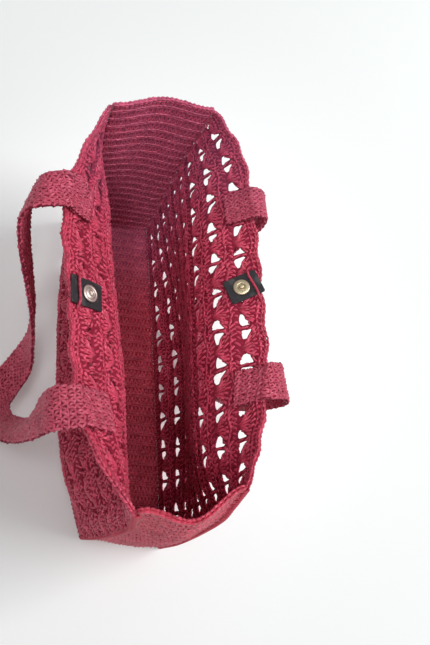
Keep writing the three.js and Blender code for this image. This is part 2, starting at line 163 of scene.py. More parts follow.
# The free part of each strap: out, along, up, then the direction across it
RIGHT_FREE = (
    (117, 110, 233, 0, 1, 0),
    (121, 108, 219, 0.1, 1, -0.1),
    (117, 104, 192, 0.3, 0.9, -0.3),
    (109, 97, 155, 0.4, 0.8, -0.4),
    (104, 85, 113, 0.6, 0.6, -0.5),
    (101, 63, 70, 0.8, 0.4, -0.4),
    (100, 32, 46, 0.95, 0.1, -0.2),
    (100, -5, 39, 1, -0.1, 0),
    (102, -39, 52, 0.9, -0.3, 0.2),
    (105, -61, 89, 0.8, -0.5, 0.2),
    (113, -71, 138, 0.6, -0.8, 0.2),
    (121, -76, 184, 0.3, -0.9, 0.2),
    (123, -78, 209, 0.1, -1, 0.1),
    (114, -77, 226, 0, -1, 0),
)
LEFT_FREE = (
    (96, 84, 240, 0.1, 1, -0.05),
    (106, 83, 232, -0.15, 0.95, -0.25),
    (112, 81, 212, -0.25, 0.9, -0.35),
    (112, 70, 182, -0.2, 0.9, -0.4),
    (106, 51, 142, -0.1, 0.85, -0.5),
    (100, 27, 104, -0.05, 0.8, -0.6),
    (101, 5, 76, 0.15, 0.75, -0.6),
    (110, -16, 56, 0.6, 0.65, -0.4),
    (125, -37, 45, 0.85, 0.45, -0.2),
    (134, -57, 48, 0.95, 0.05, -0.2),
    (130, -77, 67, 0.9, -0.3, 0),
    (118, -90, 97, 0.85, -0.45, 0.2),
    (107, -98, 131, 0.75, -0.65, 0.2),
    (99, -100, 165, 0.4, -0.9, 0.1),
    (92, -101, 200, 0.1, -1, 0.05),
    (83, -100, 223, 0, -1, 0),
)
SEWN_ROWS = ((30, 0.5), (22, 0.5), (14, 0.8), (6, 1.8), (0, 3.0))


class Side(Enum):
    """Which wall of the bag a piece belongs to."""

    RIGHT = 1
    LEFT = -1

    @property
    def word(self) -> str:
        """The side's name as the solids use it."""
        return self.name.lower()


# What differs from side to side: seeds, where along the wall a strap's two ends are sewn, and each
# tab's place as a share of the length, its distance from the rim and its turn in degrees
WALL_SEEDS = {Side.RIGHT: 11, Side.LEFT: 29}
STRAP_SEEDS = {Side.RIGHT: 500, Side.LEFT: 640}
STRAP_ENDS = {Side.RIGHT: (0.705, 0.282), Side.LEFT: (0.74, 0.24)}
TAB_AT = {Side.RIGHT: (0.503, 18.5, 16.0), Side.LEFT: (0.505, 17.5, 0.0)}

# The turned outline of each half of the snap, as radius and height
SNAP_PROFILES = {
    Side.RIGHT: (
        (0, 0), (7.6, 0), (8.15, 0.35), (8.2, 0.75), (7.95, 1.15), (7.3, 1.4), (5.2, 1.62),
        (4.2, 1.6), (3.8, 1.4), (3.65, 0.3), (2.75, 0.25), (2.6, 0.4), (2.5, 2.2), (2.2, 2.9),
        (1.7, 3.2), (0.9, 3.35), (0, 3.4),
    ),
    Side.LEFT: (
        (0, 0), (7.6, 0), (8.15, 0.4), (8.2, 0.9), (7.9, 1.4), (7.2, 1.75), (6.4, 1.85),
        (5.9, 1.7), (5.6, 1.5), (5.2, 1.75), (4.6, 2.2), (4.0, 2.38), (3.2, 2.4), (2.8, 2.3),
        (2.6, 1.8), (2.45, 1.0), (1.8, 0.85), (0, 0.8),
    ),
}

# Curves and surfaces


def unit(vectors: Array) -> Array:
    """Scales vectors to a length of 1."""
    return vectors / np.maximum(np.linalg.norm(vectors, axis=-1, keepdims=True), 1e-9)


def square(vectors: Array, lines: Array) -> Array:
    """Takes out of vectors what runs along unit lines, so they stand square to them."""
    return vectors - lines * (vectors * lines).sum(-1, keepdims=True)


def travelled(points: Array) -> Array:
    """The distance along each line of points, at each of its points."""
    steps = np.linalg.norm(np.diff(points, axis=-2), axis=-1)
    return np.concatenate([np.zeros_like(steps[..., :1]), np.cumsum(steps, axis=-1)], axis=-1)


def reread(wanted: Array, along: Array, points: Array) -> Array:
    """Reads a line of points at wanted distances, where along has the points' own distances."""
    return np.stack([np.interp(wanted, along, points[:, i]) for i in range(3)], axis=1)


def evenly(points: Array, count: int) -> Array:
    """Resamples a line of points to count points at equal distances along it."""
    along = travelled(points)
    return reread(np.linspace(0, along[-1], count), along, points)


def centripetal(points: Array, samples: int) -> Array:
    """Samples a centripetal Catmull-Rom curve through points.

    Args:
        points: The curve's points, one row each.
        samples: How many samples each stretch between two points gets.

    Returns:
        The samples, with the last point at the end.
    """
    padded = np.vstack([2 * points[0] - points[1], points, 2 * points[-1] - points[-2]])
    found = []
    share = np.linspace(0, 1, samples, endpoint=False)[:, None]
    for i in range(1, len(padded) - 2):
        p0, p1, p2, p3 = padded[i - 1 : i + 3]
        d0, d1, d2 = (math.sqrt(np.linalg.norm(b - a)) for a, b in ((p0, p1), (p1, p2), (p2, p3)))
        m1 = ((p1 - p0) / d0 - (p2 - p0) / (d0 + d1) + (p2 - p1) / d1) * d1
        m2 = ((p2 - p1) / d1 - (p3 - p1) / (d1 + d2) + (p3 - p2) / d2) * d1
        c2 = -3 * p1 + 3 * p2 - 2 * m1 - m2
        c3 = 2 * p1 - 2 * p2 + m1 + m2
        found.append(p1 + m1 * share + c2 * share**2 + c3 * share**3)
    return np.vstack([*found, points[-1]])


@dataclass
class Cloth:
    """A cloth's middle surface as an even grid over its flat size.

    The first axis of points runs along the cloth's length and the second across its width. A place
    on it is (across, along, height) in flat millimetres. Height is measured from the middle surface
    towards the inner face.
    """

    points: Array
    width: float
    length: float
    flip: float = 1.0
    normals: Array = field(init=False)

    def __post_init__(self) -> None:
        """Works out the grid's normals."""
        across = np.gradient(self.points, axis=1)
        along = np.gradient(self.points, axis=0)
        self.normals = unit(np.cross(across, along) * self.flip)

    def _read(self, grid: Array, place: Array) -> Array:
        """Reads a grid between its points."""
        rows, columns = grid.shape[:2]
        a = place[..., 0] / self.width * (columns - 1)
        b = place[..., 1] / self.length * (rows - 1)
        i = np.clip(np.floor(b).astype(int), 0, rows - 2)
        j = np.clip(np.floor(a).astype(int), 0, columns - 2)
        fb, fa = (b - i)[..., None], (a - j)[..., None]
        low = grid[i, j] * (1 - fa) + grid[i, j + 1] * fa
        high = grid[i + 1, j] * (1 - fa) + grid[i + 1, j + 1] * fa
        return low * (1 - fb) + high * fb

    def normal(self, place: Array) -> Array:
        """The inner face's normals at flat places."""
        return unit(self._read(self.normals, place))

    def at(self, place: Array) -> Array:
        """Puts flat places into the bag's space."""
        return self._read(self.points, place) + self.normal(place) * place[..., 2:3]

    def axes(self, place: Array) -> tuple[Array, Array, Array]:
        """Unit vectors across, along and out of the inner face at one flat place."""
        step = np.array([0.0, 1.0, 0.0])
        middle = np.array([place[0], place[1], 0.0])
        along = self.at(middle + step) - self.at(middle - step)
        out = self.normal(middle)
        along = along - out * (along @ out)
        along /= np.linalg.norm(along)
        return np.cross(along, out), along, out


def wall_cloth(side: Side) -> Cloth:
    """Builds a lace wall's middle surface from its table of sections."""
    table = np.array(RIGHT_ROWS if side is Side.RIGHT else LEFT_ROWS, float)
    grid = np.zeros((WALL_RISE, WALL_STATIONS, 3))
    for j, t in enumerate(np.linspace(0, 1, WALL_STATIONS)):
        r = dict(zip(WALL_COLUMNS, blend(table, t)))
        heights = (FOOT_Z, ANKLE_Z, BELLY_Z, WAIST_Z, COLLAR_Z, r["rim_z"])
        outs = (r[name] for name in ("foot", "foot", "belly", "waist", "collar", "rim"))
        section = np.array([(side.value * x, lean(z, r), z) for x, z in zip(outs, heights)])
        grid[:, j] = evenly(centripetal(section, SECTION_SAMPLES), WALL_RISE)
    return Cloth(grid, PANEL_LENGTH, PANEL_HEIGHT, -side.value)


def lean(z: float, r: dict[str, float]) -> float:
    """How far along the bag a stitch column lies at height z."""
    if z < MIDDLE_Z:
        return r["foot_y"] + (r["mid_y"] - r["foot_y"]) * z / MIDDLE_Z
    share = (z - MIDDLE_Z) / (r["rim_z"] - MIDDLE_Z)
    return r["mid_y"] + (r["rim_y"] - r["mid_y"]) * share


def blend(table: Array, t: float) -> Array:
    """Reads a table of evenly spaced rows at t, from 0 to 1, with smooth slopes."""
    last = len(table) - 1
    place = min(max(t, 0.0), 1.0) * last
    i = min(int(place), last - 1)
    f = place - i
    p0, p1, p2, p3 = table[max(i - 1, 0)], table[i], table[i + 1], table[min(i + 2, last)]
    m1, m2 = (p2 - p0) / 2, (p3 - p1) / 2
    h = f * f * (3 - 2 * f)
    return p1 + (p2 - p1) * h + f * (1 - f) * ((1 - f) * m1 - f * m2)


def strip_cloth(left: Cloth, right: Cloth) -> Cloth:
    """Builds the strip's middle surface: near end, base and far end."""
    across = np.linspace(0, 1, STRIP_COLUMNS)[:, None]
    bend_t, bend_v = BEND_RADIUS / PANEL_LENGTH, BEND_RADIUS / PANEL_HEIGHT

    def between(t: float, v: float) -> Array:
        """A straight row from just inside the left wall to just inside the right one."""
        place = np.array([t * PANEL_LENGTH, v * PANEL_HEIGHT, 0.0])
        low, high = left.at(place) + [STRIP_INSET, 0, 0], right.at(place) - [STRIP_INSET, 0, 0]
        return low + (high - low) * across

    def gusset(end: int, v: float) -> Array:
        """One row across an end, at v of its height."""
        row = between(float(end > 0), v)
        bulge = np.interp(v, (0, 0.5, 1), NEAR_BULGE if end < 0 else FAR_BULGE)
        row[:, 1] += end * (bulge * (1 - np.cos(2 * np.pi * across[:, 0])) / 2 - CLOTH / 2)
        row[:, 2] += CLOTH / 2 - FOOT_Z
        return row

    def base(t: float) -> Array:
        """One row across the base, at t of its length."""
        row = between(t, 0)
        row[:, 2] = CLOTH / 2
        return row

    def bend(end: int, f: float) -> Array:
        """One row round the bend between the base and an end."""
        low = base(bend_t if end < 0 else 1 - bend_t)
        corner, high = gusset(end, 0), gusset(end, bend_v)
        return low * (1 - f) ** 2 + corner * 2 * f * (1 - f) + high * f**2

    rows = [gusset(-1, v) for v in np.linspace(1, bend_v, END_ROWS)]
    rows += [bend(-1, f) for f in np.linspace(1, 0, BEND_ROWS)[1:-1]]
    rows += [base(t) for t in np.linspace(bend_t, 1 - bend_t, BASE_ROWS)]
    rows += [bend(1, f) for f in np.linspace(0, 1, BEND_ROWS)[1:-1]]
    rows += [gusset(1, v) for v in np.linspace(bend_v, 1, END_ROWS)]
    grid = np.array(rows)
    even = np.stack([evenly(grid[:, j], STRIP_ROWS) for j in range(STRIP_COLUMNS)], axis=1)
    middle = even[:, STRIP_COLUMNS // 2]
    length = float(np.linalg.norm(np.diff(middle, axis=0), axis=1).sum())
    return Cloth(even, STRIP_WIDTH, length)


def sewn_rows(wall: Cloth, t: float, across: Array) -> list[Array]:
    """The rows of a strap's end that lie on the wall's inner face, from the lowest to the rim.

    Args:
        wall: The wall's cloth.
        t: Where the strap's middle is, as a share of the wall's length.
        across: The row's places as shares of the strap's width, from its middle.

    Returns:
        One array of points for each row.
    """
    u, reach = t * PANEL_LENGTH, 2
    rows = []
    for from_rim, clear in SEWN_ROWS:
        v = PANEL_HEIGHT - from_rim
        ends = (wall.at(np.array([u + way * reach, v, 0.0])) for way in (1, -1))
        per_mm = 2 * reach / np.linalg.norm(np.subtract(*ends))
        place = [(u + w * STRAP_WIDTH * per_mm, v, CLOTH + clear) for w in across]
        rows.append(wall.at(np.array(place)))
    return rows


def strap_cloth(side: Side, wall: Cloth) -> Cloth:
    """Builds a strap's middle surface, from its far sewn end over the rim to its near one."""
    free = np.array(RIGHT_FREE if side is Side.RIGHT else LEFT_FREE, float)
    free[:, [0, 3]] *= side.value
    across = np.linspace(-0.5, 0.5, STRAP_COLUMNS)
    middle = STRAP_COLUMNS // 2
    far_t, near_t = STRAP_ENDS[side]
    far, near = sewn_rows(wall, far_t, across), sewn_rows(wall, near_t, -across)[::-1]
    middles = [r[middle] for r in far] + list(free[:, :3]) + [r[middle] for r in near]
    wides = [r[-1] - r[0] for r in far] + list(free[:, 3:]) + [r[-1] - r[0] for r in near]
    wides = np.array([w / np.linalg.norm(w) for w in wides])
    per = CURVE_SAMPLES
    curve = centripetal(np.array(middles), per)
    tangent = unit(np.gradient(curve, axis=0))
    wide = reread(np.arange(len(curve)) / per, np.arange(len(wides)), wides)
    wide = unit(square(wide, tangent))
    grid = curve[:, None] + wide[:, None] * (across * STRAP_WIDTH)[None, :, None]
    for rows, start in ((far, 0), (near, len(curve) - 1 - (len(near) - 1) * per)):
        for k in range((len(rows) - 1) * per + 1):
            f = (k % per) / per
            after = rows[min(k // per + 1, len(rows) - 1)]
            grid[start + k] = rows[k // per] * (1 - f) + after * f
    along = travelled(grid[:, middle])
    wanted = np.linspace(0, along[-1], int(along[-1] / STRAP_STEP))
    even = np.stack([reread(wanted, along, grid[:, j]) for j in range(STRAP_COLUMNS)], axis=1)
    return Cloth(even, STRAP_WIDTH, float(along[-1]))


def uneven(flat: Array) -> Array:
    """Sways flat places a little, as uneven hand work does; both axes keep their order."""
    a, b = flat[..., 0], flat[..., 1]
    fade = 1.0
    for place, size in ((a, PANEL_LENGTH), (b, PANEL_HEIGHT)):
        fade = fade * np.clip(np.minimum(place, size - place) / SWAY_FADE, 0, 1)
    swayed = flat.copy()
    for axis, waves in enumerate(SWAYS):
        sway = sum(size * np.sin(a * by_a + b * by_b + phase) for size, by_a, by_b, phase in waves)
        swayed[..., axis] += fade * sway
    return swayed


def rim_line(across: Array) -> Array:
    """The height of the scalloped rim's chain at places across a wall."""
    return PANEL_HEIGHT - SCALLOP * (1 + np.cos(2 * np.pi * across / REPEAT)) / 2 - 1.0


# Meshes


def link_new(name: str, data: bpy.types.ID) -> Object:
    """Makes an object of some data and links it to the scene."""
    made = bpy.data.objects.new(name, data)
    bpy.context.scene.collection.objects.link(made)
    return made


def new_piece(name: str, verts: Array | list, faces: list, material: Material) -> Object:
    """Makes a smooth piece from points in millimetres.

    Args:
        name: The piece's name.
        verts: Its points, one row each.
        faces: Its faces, as rows of point numbers.
        material: Its finish.

    Returns:
        The new object, linked to the scene and riding on the bag's body.
    """
    mesh = bpy.data.meshes.new(name)
    mesh.from_pydata((np.asarray(verts) * MM).tolist(), [], [list(map(int, f)) for f in faces])
    mesh.validate()
    mesh.update()
    mesh.shade_smooth()
    piece = link_new(name, mesh)
    mesh.materials.append(material)
    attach(piece, BODY)
    return piece


def mark(piece: Object, name: str, values: Array) -> None:
    """Keeps a number or a vector for each point of a piece, for its finish to read."""
    kind, key = ("FLOAT", "value") if values.ndim == 1 else ("FLOAT_VECTOR", "vector")
    kept = piece.data.attributes.new(name, kind, "POINT")
    kept.data.foreach_set(key, values.astype(np.float32).ravel())


def strand_piece(name: str, tube: tuple[Array, list, Array], material: Material) -> Object:
    """Makes a piece from what tubes gives, kept off the floor, with its strand attribute."""
    points, groups, about = tube
    points[:, 2] = np.maximum(points[:, 2], 0.0)
    piece = new_piece(name, points, [f for group in groups for f in group.tolist()], material)
    mark(piece, "strand", about)
    return piece


def grid_quads(rows: int, columns: int) -> Array:
    """The quads between the points of a grid, one row of four point numbers each."""
    index = np.arange(rows * columns).reshape(rows, columns)
    corners = [index[:-1, :-1], index[:-1, 1:], index[1:, 1:], index[1:, :-1]]
    return np.stack(corners, axis=-1).reshape(-1, 4)


def ring_faces(rings: int, around: int, first: int) -> list:
    """The quads between rings of points that follow each other, from the first point's number."""
    faces = []
    for start in range(first, first + (rings - 1) * around, around):
        for k in range(around):
            a, b = start + k, start + (k + 1) % around
            faces.append((a, b, b + around, a + around))
    return faces


def thick_sheet(cloth: Cloth, flat: Array, quads: Array) -> tuple[Array, list]:
    """Makes a closed sheet from flat places and the quads between them.

    Args:
        cloth: The surface that the sheet follows.
        flat: Its places, as (across, along).
        quads: Rows of four place numbers, anticlockwise.

    Returns:
        The sheet's points and faces.
    """
    used, quads = np.unique(quads, return_inverse=True)
    quads = quads.reshape(-1, 4)
    flat = flat[used]
    count = len(flat)
    sides = [cloth.at(np.column_stack([flat, np.full(count, h)])) for h in (CORE / 2, -CORE / 2)]
    verts = np.vstack(sides)
    verts[:, 2] = np.maximum(verts[:, 2], 0.0)
    order = quads if cloth.flip > 0 else quads[:, ::-1]
    faces = [*order, *(order[:, ::-1] + count)]
    pairs = np.vstack([order[:, [i, (i + 1) % 4]] for i in range(4)])
    known = {(a, b) for a, b in pairs.tolist()}
    faces += [(b, a, a + count, b + count) for a, b in known if (b, a) not in known]
    return verts, faces


def whole_sheet(cloth: Cloth) -> tuple[Array, list]:
    """Makes the closed sheet of a whole cloth, on the cloth's own grid."""
    rows, columns = cloth.points.shape[:2]
    a, b = np.meshgrid(np.linspace(0, cloth.width, columns), np.linspace(0, cloth.length, rows))
    return thick_sheet(cloth, np.stack([a.ravel(), b.ravel()], axis=1), grid_quads(rows, columns))


@dataclass
class Yarn:
    """Short lengths of yarn that are laid on a cloth and become one mesh."""

    cloth: Cloth
    seed: int
    sways: bool = False
    paths: list = field(default_factory=list)

    def lay(self, places: Array, radius: float, capped: bool = True, jitter: float = 0.3) -> None:
        """Adds strands of the same number of points.

        Args:
            places: Strands by points by (across, along, height), in flat millimetres.
            radius: Half the yarn's thickness.
            capped: Whether their ends are closed; ends that run under other strands needn't be.
            jitter: How far the hand-made places stray.
        """
        random = np.random.default_rng(self.seed + len(self.paths))
        places = places + random.normal(0, jitter, places.shape) * STRAY
        if self.sways:
            places = np.concatenate([uneven(places[..., :2]), places[..., 2:]], axis=-1)
        size = radius * random.uniform(*THICK_SHARES, (len(places), 1))
        self.paths.append((places, np.broadcast_to(size, places.shape[:2]), capped))

    def build(self, name: str, material: Material) -> Object:
        """Makes the piece from all the strands."""
        random = np.random.default_rng(self.seed + TONE_SEED)
        rings, groups, abouts, tones = [], [], [], []
        start = 0
        for places, size, capped in self.paths:
            points, normal = self.cloth.at(places), self.cloth.normal(places)
            ring, loops, about = tubes(points, normal, size, YARN_SIDES)
            rings.append(ring)
            groups += [group + start for group in (loops if capped else loops[:1])]
            abouts.append(about)
            tones.append(np.repeat(random.random(len(places)), len(ring) // len(places)))
            start += len(ring)
        piece = strand_piece(name, (np.vstack(rings), groups, np.vstack(abouts)), material)
        mark(piece, "tone", np.concatenate(tones))
        return piece


def tubes(points: Array, normal: Array, size: Array, sides: int) -> tuple:
    """Makes tubes along many lines at once.

    Args:
        points: Lines by points by 3.
        normal: A direction beside each point that isn't along the line.
        size: The radius at each point.
        sides: How many sides each tube has.

    Returns:
        The tubes' points, the faces round them and over their ends as two arrays, and cos, sin and
        distance along for each point.
    """
    lines, count = points.shape[:2]
    tangent = unit(np.gradient(points, axis=1))
    up = square(normal, tangent)
    weak = np.linalg.norm(up, axis=2, keepdims=True) < 0.05
    other = np.cross(tangent, [0.0, 0.0, 1.0]) + [0.01, 0.0, 0.0]
    up = unit(np.where(weak, other, up))
    beside = np.cross(tangent, up)
    angle = np.arange(sides) / sides * 2 * np.pi + 0.4
    cos, sin = np.cos(angle)[:, None], np.sin(angle)[:, None]
    round_it = up[:, :, None] * cos + beside[:, :, None] * sin
    ring = points[:, :, None] + size[:, :, None, None] * round_it
    about = np.empty((lines, count, sides, 3))
    about[..., 0] = cos[:, 0]
    about[..., 1] = sin[:, 0]
    about[..., 2] = travelled(points)[:, :, None]
    index = np.arange(lines * count * sides).reshape(lines, count, sides)
    nxt = np.roll(index, -1, axis=2)
    walls = np.stack([index[:, :-1], nxt[:, :-1], nxt[:, 1:], index[:, 1:]], axis=-1)
    caps = np.vstack([index[:, 0, ::-1], index[:, -1]])
    return ring.reshape(-1, 3), [walls.reshape(-1, 4), caps], about.reshape(-1, 3)


# Stitches, as strands in flat millimetres


def strands(*stations: tuple) -> Array:
    """Joins stations into strands.

    Args:
        stations: The strands' points in turn, each as (across, along, height). Each of these three
            is one number for all the strands or an array with one for every strand.

    Returns:
        Strands by points by (across, along, height).
    """
    return np.stack([np.stack(np.broadcast_arrays(*s), axis=-1) for s in stations], axis=1)


def stitch_field(low: tuple, high: tuple, size: tuple) -> tuple:
    """Spreads stitches evenly over a field.

    Args:
        low: The field's lowest (across, along).
        high: Its highest.
        size: About how wide a stitch is and how high a row.

    Returns:
        The stitches' places across and along, their rows' numbers, and the fitted width and height.
    """
    counts = [max(1, round((b - a) / s)) for a, b, s in zip(low, high, size)]
    stitch, row = ((b - a) / n for a, b, n in zip(low, high, counts))
    j, i = (g.ravel() for g in np.meshgrid(*map(np.arange, counts)))
    return low[0] + (j + 0.5) * stitch, low[1] + (i + 0.5) * row, i, stitch, row


def close_rows(yarn: Yarn, high: tuple) -> None:
    """Lays thick rows of v stitches that show on both faces, over a field from (0, 0) to high."""
    a, b, i, stitch, row = stitch_field((0, 0), high, STRAP_STITCH)
    slant = np.where(i % 2 == 0, 0.14, -0.14) * stitch
    for face in (-1, 1):
        for turn in (-1, 1):
            legs = strands(
                (a - slant + turn * 0.04 * stitch, b - 0.46 * row, 0.45 * face),
                (a + turn * 0.27 * stitch, b, 1.45 * face),
                (a + slant + turn * 0.36 * stitch, b + 0.4 * row, 0.5 * face),
            )
            yarn.lay(legs, 1.2, capped=False, jitter=0.42)
        bars = strands(
            (a - 0.46 * stitch, b + 0.38 * row, 0.5 * face),
            (a, b + 0.5 * row, 0.95 * face),
            (a + 0.46 * stitch, b + 0.38 * row, 0.5 * face),
        )
        yarn.lay(bars, 1.05, capped=False)


def single_crochet(yarn: Yarn, low: tuple, high: tuple, first: int) -> None:
    """Lays rows of single crochet, back and forth, so each face shows every other row's front.

    Args:
        yarn: Where the strands go.
        low: The lowest (across, along) of the worked field.
        high: The highest (across, along) of it.
        first: Which face the first row's front is on, 0 or 1.
    """
    a, b, i, stitch, row = stitch_field(low, high, STRIP_STITCH)
    face = np.where((i + first) % 2 == 0, 1.0, -1.0)
    a = a + face * 0.12 * stitch
    for turn in (-1, 1):
        legs = strands(
            (a + turn * 0.06 * stitch, b - 0.52 * row, face * 0.55),
            (a + turn * 0.34 * stitch, b + 0.02 * row, face * 0.7),
            (a + turn * 0.44 * stitch, b + 0.5 * row, face * 0.6),
        )
        yarn.lay(legs, YARN, capped=False)
    # Half a dash's width, the place and height of its ends and of its middle, and its radius
    dashes = (
        (0.5, 0.24 - 0.14, -0.5, 0.24, -1.75, YARN * 1.05),
        (0.5, -0.18 - 0.14, -0.5, -0.18, -1.3, YARN * 1.05),
        (0.45, -0.42, 0.2, -0.46, 0.4, YARN),
    )
    for half, end, end_height, middle, height, radius in dashes:
        dash = strands(
            (a - half * stitch, b + end * row, face * end_height),
            (a, b + middle * row, face * height),
            (a + half * stitch, b + end * row, face * end_height),
        )
        yarn.lay(dash, radius, capped=False)


def chain(yarn: Yarn, line: Array, height: float, spread: float) -> None:
    """Lays a chain of loops along a line of flat places.

    Args:
        yarn: Where the strands go.
        line: The places that the chain follows, as (across, along), one for each loop.
        height: How far its middle stands from the cloth's middle, on either side.
        spread: Half the width of a loop.
    """
    step = np.gradient(line, axis=0)
    ahead = unit(step)
    beside = np.stack([-ahead[:, 1], ahead[:, 0]], axis=1)
    for turn in (-1, 1):
        loop = []
        for along, out, lift in ((-0.62, 0.25, -0.45), (-0.05, 1.0, 0.35), (0.52, 0.55, -0.1)):
            place = line + along * step + beside * (turn * out * spread)
            loop.append((*place.T, height + lift * np.sign(height)))
        yarn.lay(strands(*loop), CHAIN_YARN, jitter=0.18)


def posts(yarn: Yarn, foot: Array, top: Array, width: float = 1.2, radius: float = 1.25) -> None:
    """Lays tall stitches, each of two strands twisted round each other.

    Args:
        yarn: Where the strands go.
        foot: The stitches' lower ends, as (across, along).
        top: Their upper ends.
        width: How far each strand runs from the middle of its stitch.
        radius: Half a strand's thickness.
    """
    step = top - foot
    ahead = unit(step)
    beside = np.stack([-ahead[:, 1], ahead[:, 0]], axis=1)
    for turn in (-1, 1):
        strand = []
        for share in (0.0, 0.25, 0.5, 0.75, 1.0):
            swing = turn * math.cos(math.pi * share * 1.5)
            depth = turn * math.sin(math.pi * share * 1.5)
            place = foot + step * share + beside * (width * swing)
            strand.append((*place.T, 1.15 * depth))
        yarn.lay(strands(*strand), radius)


# Finishes


@dataclass(frozen=True)
class YarnFinish:
    """Shiny twisted yarn: its light and dark shades, and the painted cooler light cast added at the
    far end.

    ground is how bright the yarn below the strands stays, dimmed as painted shade between them.
    roughness and twist set its gloss and plies.
    """

    name: str
    light: Triple
    dark: Triple
    # The painted cooler light cast added at the far end
    far: Triple = (0.0, 0.03, 0.065)
    # How bright the ground stays: painted shade between the strands
    ground: float = 0.5
    roughness: float = 0.42
    twist: float = 0.6


@dataclass(frozen=True)
class SmoothFinish:
    """Leather-like sheet or polished metal: its colour, and the colour of its rubbed patches.

    scale and amount set the patches. rough is what they add to the roughness, and the roughness.
    grain is the height of the sheet's grain as a bump's strength.
    """

    name: str
    colour: Triple
    worn: Triple
    scale: float = 400.0
    amount: float = 0.8
    rough: tuple[float, float] = (0.2, 0.4)
    metallic: float = 1.0
    grain: float = 0.0


BRIGHT_YARN = YarnFinish("lace_yarn", (0.74, 0.068, 0.145), (0.36, 0.018, 0.048))
STRIP_YARN = YarnFinish(
    "strip_yarn", (0.74, 0.07, 0.13), (0.4, 0.022, 0.046), far=(0.05, 0.06, 0.12), ground=0.55
)
STRAP_YARN = YarnFinish("strap_yarn", (0.62, 0.085, 0.15), (0.34, 0.026, 0.06))
BLACK_SHEET = SmoothFinish(
    "black_sheet", (0.012, 0.011, 0.014), (0.09, 0.08, 0.085), 90.0, 0.6, (0.3, 0.38), 0.0, 0.35
)
PALE_BRASS = SmoothFinish("pale_brass", (0.62, 0.53, 0.36), (0.4, 0.33, 0.22))
PINK_BRASS = SmoothFinish("pink_brass", (0.62, 0.52, 0.47), (0.42, 0.33, 0.3))
BRASSES = {Side.RIGHT: PALE_BRASS, Side.LEFT: PINK_BRASS}

# A colour mix's two colours and its result, which share their names with its other sockets
MIX_LOW, MIX_HIGH, MIX_RESULT = 6, 7, 2


class Nodes:
    """A short way to add and join shader nodes in one tree."""

    def __init__(self, tree: Tree) -> None:
        """Keeps the tree."""
        self.tree = tree

    def feed(self, socket: Socket, value: object) -> None:
        """Links a socket to another one, or sets its constant."""
        if isinstance(value, Socket):
            self.tree.links.new(value, socket)
        else:
            socket.default_value = value

    def add(self, kind: str, feeds: dict | None = None, **settings: object) -> bpy.types.Node:
        """Adds a node, sets its own settings and feeds its inputs."""
        node = self.tree.nodes.new(kind)
        for key, value in settings.items():
            setattr(node, key, value)
        for label, value in (feeds or {}).items():
            self.feed(node.inputs[label], value)
        return node

    def attribute(self, name: str, output: str) -> Socket:
        """Reads what the piece keeps for each point under a name."""
        node = self.add("ShaderNodeAttribute", attribute_name=name, attribute_type="GEOMETRY")
        return node.outputs[output]

    def place(self) -> Socket:
        """The place in the piece's own space."""
        return self.add("ShaderNodeTexCoord").outputs["Object"]

    def part(self, vector: Socket) -> Sockets:
        """Takes a vector apart and gives the outputs X, Y and Z."""
        return self.add("ShaderNodeSeparateXYZ", {0: vector}).outputs

    def noise(self, place: Socket, scale: object, detail: float) -> Socket:
        """Adds soft noise at a scale, and gives its value."""
        feeds = {"Vector": place, "Scale": scale, "Detail": detail}
        return self.add("ShaderNodeTexNoise", feeds).outputs["Fac"]

    def smooth(self, value: Socket, low: float, high: float) -> Socket:
        """Gives 0 below low, 1 above high and a soft rise between."""
        feeds = {"Value": value, "From Min": low, "From Max": high}
        node = self.add("ShaderNodeMapRange", feeds, interpolation_type="SMOOTHSTEP")
        return node.outputs["Result"]

    def mix(self, share: Socket, low: object, high: object, blend: str = "MIX") -> Socket:
        """Mixes two colours by a share, and gives the colour."""
        feeds = {"Factor": share, MIX_LOW: low, MIX_HIGH: high}
        node = self.add("ShaderNodeMix", feeds, data_type="RGBA", blend_type=blend)
        return node.outputs[MIX_RESULT]

    def maths(self, operation: str, *values: object) -> Socket:
        """Adds a maths node on sockets and numbers, and gives its result."""
        node = self.add("ShaderNodeMath", dict(enumerate(values)), operation=operation)
        return node.outputs[0]

    def bump(self, height: Socket, strength: float, distance: float) -> bpy.types.Node:
        """Adds a bump from a height."""
        feeds = {"Height": height, "Strength": strength, "Distance": distance}
        return self.add("ShaderNodeBump", feeds)


def new_group(
    name: str, inputs: dict[str, tuple[str, object]], outputs: dict[str, str]
) -> tuple[Tree, Nodes, Sockets, Sockets]:
    """Starts a shader node group.

    Args:
        name: The group's name.
        inputs: Socket names with their kind and first value.
        outputs: Socket names with their kind.

    Returns:
        The group, a Nodes on it, the sockets that it is given and the sockets that it gives.
    """
    group = bpy.data.node_groups.new(name, "ShaderNodeTree")
    for label, (kind, value) in inputs.items():
        socket = group.interface.new_socket(label, in_out="INPUT", socket_type=kind)
        socket.default_value = value
    for label, kind in outputs.items():
        group.interface.new_socket(label, in_out="OUTPUT", socket_type=kind)
    n = Nodes(group)
    return group, n, n.add("NodeGroupInput").outputs, n.add("NodeGroupOutput").inputs


def twist_group() -> Tree:
    """The plies of a twisted yarn, as a height, from the strand attribute."""
    group, n, given, result = new_group(
        "yarn_twist",
        {"Plies": ("NodeSocketFloat", 3.0), "Pitch": ("NodeSocketFloat", 5.0)},
        {"Height": "NodeSocketFloat"},
    )
    parts = n.part(n.attribute("strand", "Vector"))
    around = n.maths("MULTIPLY", n.maths("ARCTAN2", parts["Y"], parts["X"]), given["Plies"])
    along = n.maths("MULTIPLY", n.maths("DIVIDE", parts["Z"], given["Pitch"]), 2 * math.pi)
    wave = n.maths("SINE", n.maths("ADD", around, along))
    n.feed(result["Height"], n.maths("MULTIPLY_ADD", wave, 0.5, 0.5))
    return group


